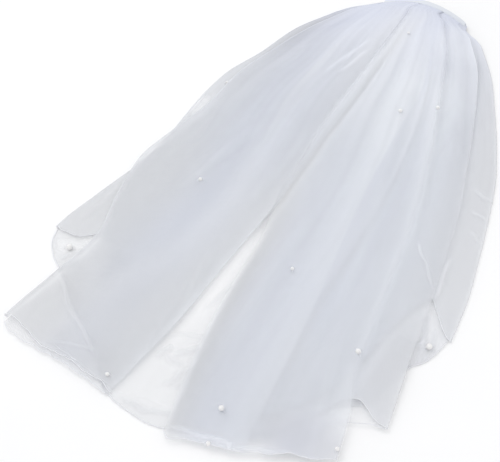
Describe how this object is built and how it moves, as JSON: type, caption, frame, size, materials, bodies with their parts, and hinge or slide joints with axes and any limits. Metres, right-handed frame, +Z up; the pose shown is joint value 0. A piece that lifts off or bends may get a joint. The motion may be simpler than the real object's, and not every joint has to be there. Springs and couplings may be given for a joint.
{
  "type": "bridal veil",
  "caption": "Elbow-length bridal veil of soft tulle, gathered onto a bowed hair comb and laid out flat in folded lobes",
  "frame": {"origin": "middle of the underside of the veil's bounding box, on the surface that it lies on", "axes": "+Y runs from the hem to the comb, the veil's longest extent; +X is to the right as seen from the hem; +Z is up, its shortest extent"},
  "size_m": [0.4152, 0.714, 0.0264],
  "materials": {
    "tulle": "matte sheer net",
    "ribbon": "satin",
    "comb_plastic": "glossy"
  },
  "bodies": {
    "root": {"tulle_back": "tulle", "tulle_inner_left": "tulle", "tulle_inner_right": "tulle", "tulle_under_left": "tulle", "tulle_under_right": "tulle", "tulle_middle_left": "tulle", "tulle_middle_right": "tulle", "tulle_pleat_right": "tulle", "tulle_front_left": "tulle", "tulle_front_right": "tulle", "gathered_heading": "tulle", "comb_ribbon": "ribbon", "comb": "comb_plastic"}
  },
  "joints": []
}
